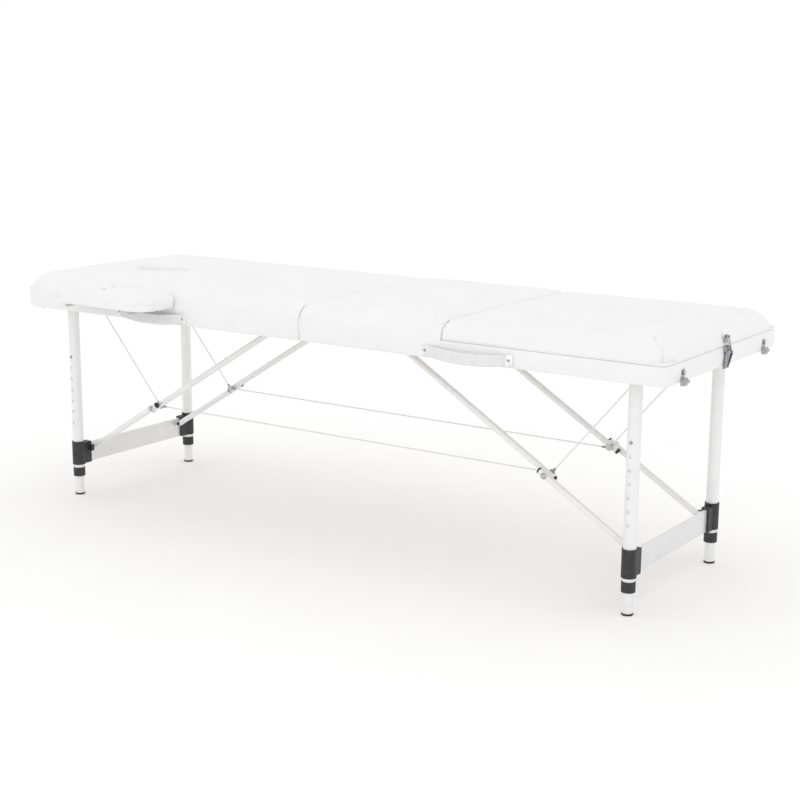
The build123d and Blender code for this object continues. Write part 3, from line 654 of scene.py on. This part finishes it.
# ------------------------------------------------------------------ small fittings on the legs and struts
for end, side in ENDS:
    upper = JOINTS[f"{end}_upper_strut_turn"]["pos_m"]
    lower = JOINTS[f"{end}_lower_strut_turn"]["pos_m"]
    elbow = Vector((side * ELBOW_X, 0, ELBOW_Z))
    down = Vector((lower[0] - upper[0], 0, lower[2] - upper[2])).normalized()
    up_low, up_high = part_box(f"{end}_upper_struts")
    low_low, low_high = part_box(f"{end}_lower_struts")
    plug = [(-0.004, STRUT_R - 0.0014), (0.0, STRUT_R - 0.0014), (0.0, STRUT_R + 0.0004),
            (0.0022, STRUT_R + 0.0004), (0.0042, STRUT_R - 0.0012), (0.0052, STRUT_R - 0.0038),
            (0.0055, 0.0006)]
    for node, low, high, way in ((f"{end}_upper_struts", up_low, up_high, 1),
                                 (f"{end}_lower_struts", low_low, low_high, -1)):
        strut_y = high.y - STRUT_R
        tail = elbow + down * way * STRUT_TAIL
        places = [Vector((tail.x, y, tail.z)) for y in (-strut_y, strut_y)]
        turned(f"{node}_caps", plug, places, down * way, node, BLACK)
    outer = low_high.y
    for row, sign in ROWS:
        washer = [(0.0, 0.0072), (0.0010, 0.0072), (0.0010, 0.0050)]
        head = washer + dome(0.0050, 0.0034, 0.0011)
        turned(f"{end}_{row}_elbow_head", head, [Vector((elbow.x, sign * outer, elbow.z))], (0, sign, 0),
               f"{end}_lower_struts", ZINC)
        tube_face = LEG_Y + LEG_R
        rivet_at = Vector((side * LEG_X, sign * tube_face, RIVET_Z))
        turned(f"{end}_{row}_leg_rivet", dome(0.0032, 0.0014, -0.0006), [rivet_at], (0, sign, 0),
               f"{end}_leg_frame", LEG_METAL)


# ------------------------------------------------------------------ steel cables
def wire_rope(name, points, body, radius=CABLE_R, strands=6, lay_length=0.022):
    """A taut stranded rope in one straight run from the first point to the last."""
    start, stop = Vector(points[0]), Vector(points[-1])
    axis, across, up = frame_of(stop - start)
    length = (stop - start).length
    steps = max(int(length / 0.0022), 8)
    rings = []
    for i in range(steps + 1):
        centre = start + axis * (length * i / steps)
        twist = 2 * math.pi * (length * i / steps) / lay_length
        ring = []
        for j in range(strands * 4):
            angle = 2 * math.pi * j / (strands * 4)
            bulge = radius * (0.84 + 0.16 * abs(math.cos(strands / 2 * (angle - twist))))
            ring.append(centre + (across * math.cos(angle) + up * math.sin(angle)) * bulge)
        rings.append(np.array(ring))
    piece = add_object(name, ring_mesh(name, rings), body, WIRE)
    return piece


SLEEVE = [(0.0, CABLE_R), (0.0, 0.0026), (0.001, 0.0031), (0.011, 0.0031), (0.012, 0.0026), (0.012, CABLE_R)]
SHORT_SLEEVE = [(0.0, CABLE_R), (0.0, 0.0026), (0.001, 0.0030), (0.005, 0.0030), (0.006, 0.0026),
                (0.006, CABLE_R)]
cable_y = cable_high.y - CABLE_R
cable_z = cable_low.z + CABLE_R
reach = cable_high.x
SPLIT = reach * 0.5
for end, side in ENDS:
    low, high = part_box(f"{end}_end_cables")
    for row, sign in ROWS:
        y = sign * cable_y
        inner = Vector((side * (min(abs(low.x), abs(high.x)) + CABLE_R * 0.7), y, low.z + CABLE_R * 0.6))
        outer = Vector((side * (max(abs(low.x), abs(high.x)) - CABLE_R * 0.7), y, high.z - CABLE_R * 0.6))
        rope = wire_rope(f"{end}_{row}_end_cable", (inner, outer), None)
        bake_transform(rope)
        if row == "near":
            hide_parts(f"{end}_end_cables")
        way = (outer - inner).normalized()
        turned(f"{end}_{row}_end_cable_low_sleeve", SHORT_SLEEVE, [inner], way, f"{end}_upper_struts",
               CHROME)
        turned(f"{end}_{row}_end_cable_top_sleeve", SLEEVE, [outer], -way, f"{end}_half",
               CHROME)
        tip = Vector((side * reach, y, cable_z))
        seam = Vector((side * SPLIT, y, cable_z))
        part = wire_rope(f"{end}_{row}_long_cable", (tip, seam), None)
        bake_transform(part)
        turned(f"{end}_{row}_long_cable_sleeve", SLEEVE, [tip], (-side, 0, 0), f"{end}_upper_struts",
               CHROME)
for row, sign in ROWS:
    y = sign * cable_y
    left = Vector((-SPLIT, y, cable_z))
    right = Vector((SPLIT, y, cable_z))
    middle = wire_rope(f"{row}_middle_long_cable", (left, right), None)
    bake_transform(middle)
    if row == "near":
        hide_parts("long_cables")


# ------------------------------------------------------------------ floor, light and camera
def pale_floor():
    """A large pale floor under the feet."""
    look, tree, shader = nodes_of("pale_floor")
    speck = texture(tree, "ShaderNodeTexNoise", 3, Detail=2.0)
    colour = spread(tree, speck.outputs["Fac"], [(0.3, (0.975, 0.975, 0.975)), (0.7, (0.99, 0.99, 0.99))])
    tree.links.new(colour, shader.inputs["Base Color"])
    shader.inputs["Roughness"].default_value = 0.9
    mesh = bpy.data.meshes.new("floor")
    size = 30.0
    corners = [(-size, -size, 0), (size, -size, 0), (size, size, 0), (-size, size, 0)]
    mesh.from_pydata(corners, [], [(0, 1, 2, 3)])
    mesh.materials.append(look)
    floor = bpy.data.objects.new("floor", mesh)
    scene.collection.objects.link(floor)


def soft_light(name, place, target, size, power):
    """A large square lamp aimed at a point."""
    lamp = bpy.data.lights.new(name, "AREA")
    lamp.shape = "RECTANGLE"
    lamp.size, lamp.size_y = size
    lamp.energy = power
    holder = bpy.data.objects.new(name, lamp)
    scene.collection.objects.link(holder)
    holder.location = place
    holder.rotation_euler = (Vector(target) - Vector(place)).to_track_quat("-Z", "Y").to_euler()


pale_floor()
world = bpy.data.worlds.new("studio")
world.use_nodes = True
world.node_tree.nodes["Background"].inputs["Color"].default_value = (1.0, 1.0, 1.0, 1)
world.node_tree.nodes["Background"].inputs["Strength"].default_value = 1.02
scene.world = world
soft_light("key", (-0.9, -0.6, 3.2), (0, 0, 0.4), (2.2, 1.6), 2)
soft_light("front", (2.2, -3.4, 1.9), (0, 0, 0.35), (2.4, 1.8), 7)
scene.view_settings.view_transform = "Standard"

# Camera: focal length, place and angles of the reference view.
CAMERA_PLACE = Vector((2.1698, -3.0695, 1.1389))
CAMERA_LENS = 69.0
CAMERA_YAW, CAMERA_PITCH, CAMERA_ROLL = 0.5973, 0.2126, 0.0067
camera = bpy.data.cameras.new("camera")
camera.lens = CAMERA_LENS
camera.sensor_width = 36.0
forward = Vector((-math.sin(CAMERA_YAW) * math.cos(CAMERA_PITCH),
                  math.cos(CAMERA_YAW) * math.cos(CAMERA_PITCH),
                  -math.sin(CAMERA_PITCH)))
level = Vector((math.cos(CAMERA_YAW), math.sin(CAMERA_YAW), 0))
raised = level.cross(forward)
right = level * math.cos(CAMERA_ROLL) + raised * math.sin(CAMERA_ROLL)
top = raised * math.cos(CAMERA_ROLL) - level * math.sin(CAMERA_ROLL)
holder = bpy.data.objects.new("camera", camera)
scene.collection.objects.link(holder)
turn = Matrix((right, top, -forward)).transposed()
holder.matrix_world = Matrix.Translation(CAMERA_PLACE) @ turn.to_4x4()
scene.camera = holder
